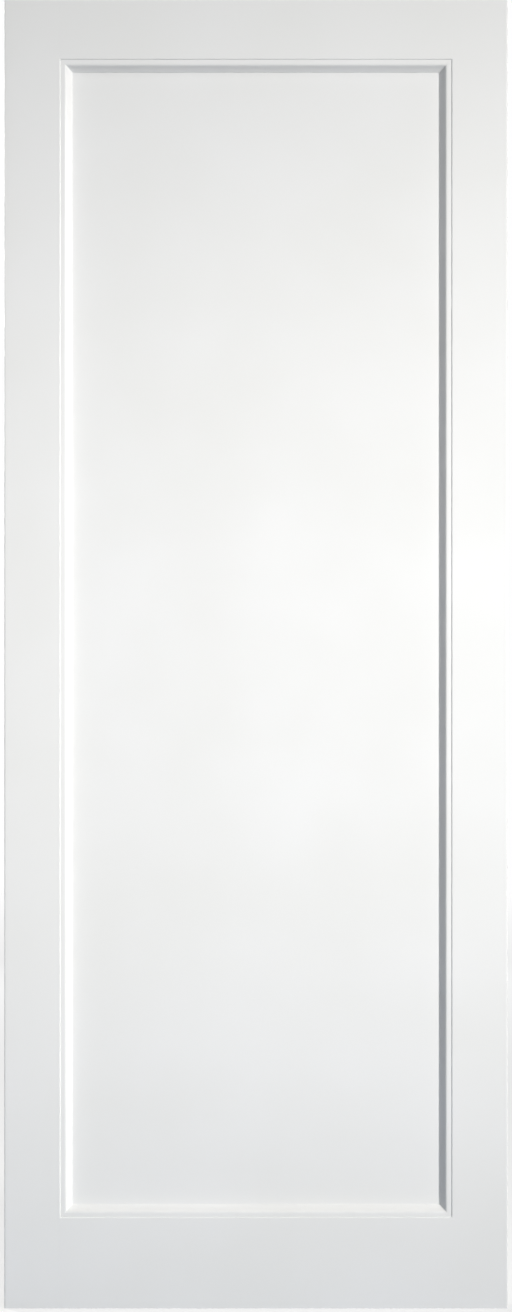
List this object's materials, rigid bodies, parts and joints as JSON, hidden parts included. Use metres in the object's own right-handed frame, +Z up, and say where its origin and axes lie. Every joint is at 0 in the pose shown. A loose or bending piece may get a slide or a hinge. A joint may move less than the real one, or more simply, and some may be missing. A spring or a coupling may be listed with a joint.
{
  "type": "shaker door leaf",
  "caption": "Tall flat door leaf: a recessed flat panel in a frame of stiles and rails, with a mitred coved bead around it on both faces. Hung by its edge to close a doorway.",
  "frame": {"origin": "foot of the hinge edge, in the middle of the leaf's thickness, on the edge's flat face", "axes": "+X across the leaf from the hinge edge to the lock edge, +Y from the front face to the back face, +Z up"},
  "size_m": [0.762, 0.035, 1.981],
  "materials": {
    "primed_facing": "satin",
    "primed_panel": "satin",
    "primed_bead": "satin",
    "primed_timber": "matte"
  },
  "bodies": {
    "root": {"left_stile_core": "primed_timber", "left_stile_lipping": "primed_timber", "left_stile_front_facing": "primed_facing", "left_stile_back_facing": "primed_facing", "right_stile_core": "primed_timber", "right_stile_lipping": "primed_timber", "right_stile_front_facing": "primed_facing", "right_stile_back_facing": "primed_facing", "top_rail_core": "primed_timber", "top_rail_front_facing": "primed_facing", "top_rail_back_facing": "primed_facing", "bottom_rail_core": "primed_timber", "bottom_rail_front_facing": "primed_facing", "bottom_rail_back_facing": "primed_facing", "flat_panel": "primed_panel", "front_left_bead": "primed_bead", "front_right_bead": "primed_bead", "front_top_bead": "primed_bead", "front_bottom_bead": "primed_bead", "back_left_bead": "primed_bead", "back_right_bead": "primed_bead", "back_top_bead": "primed_bead", "back_bottom_bead": "primed_bead"}
  },
  "joints": []
}
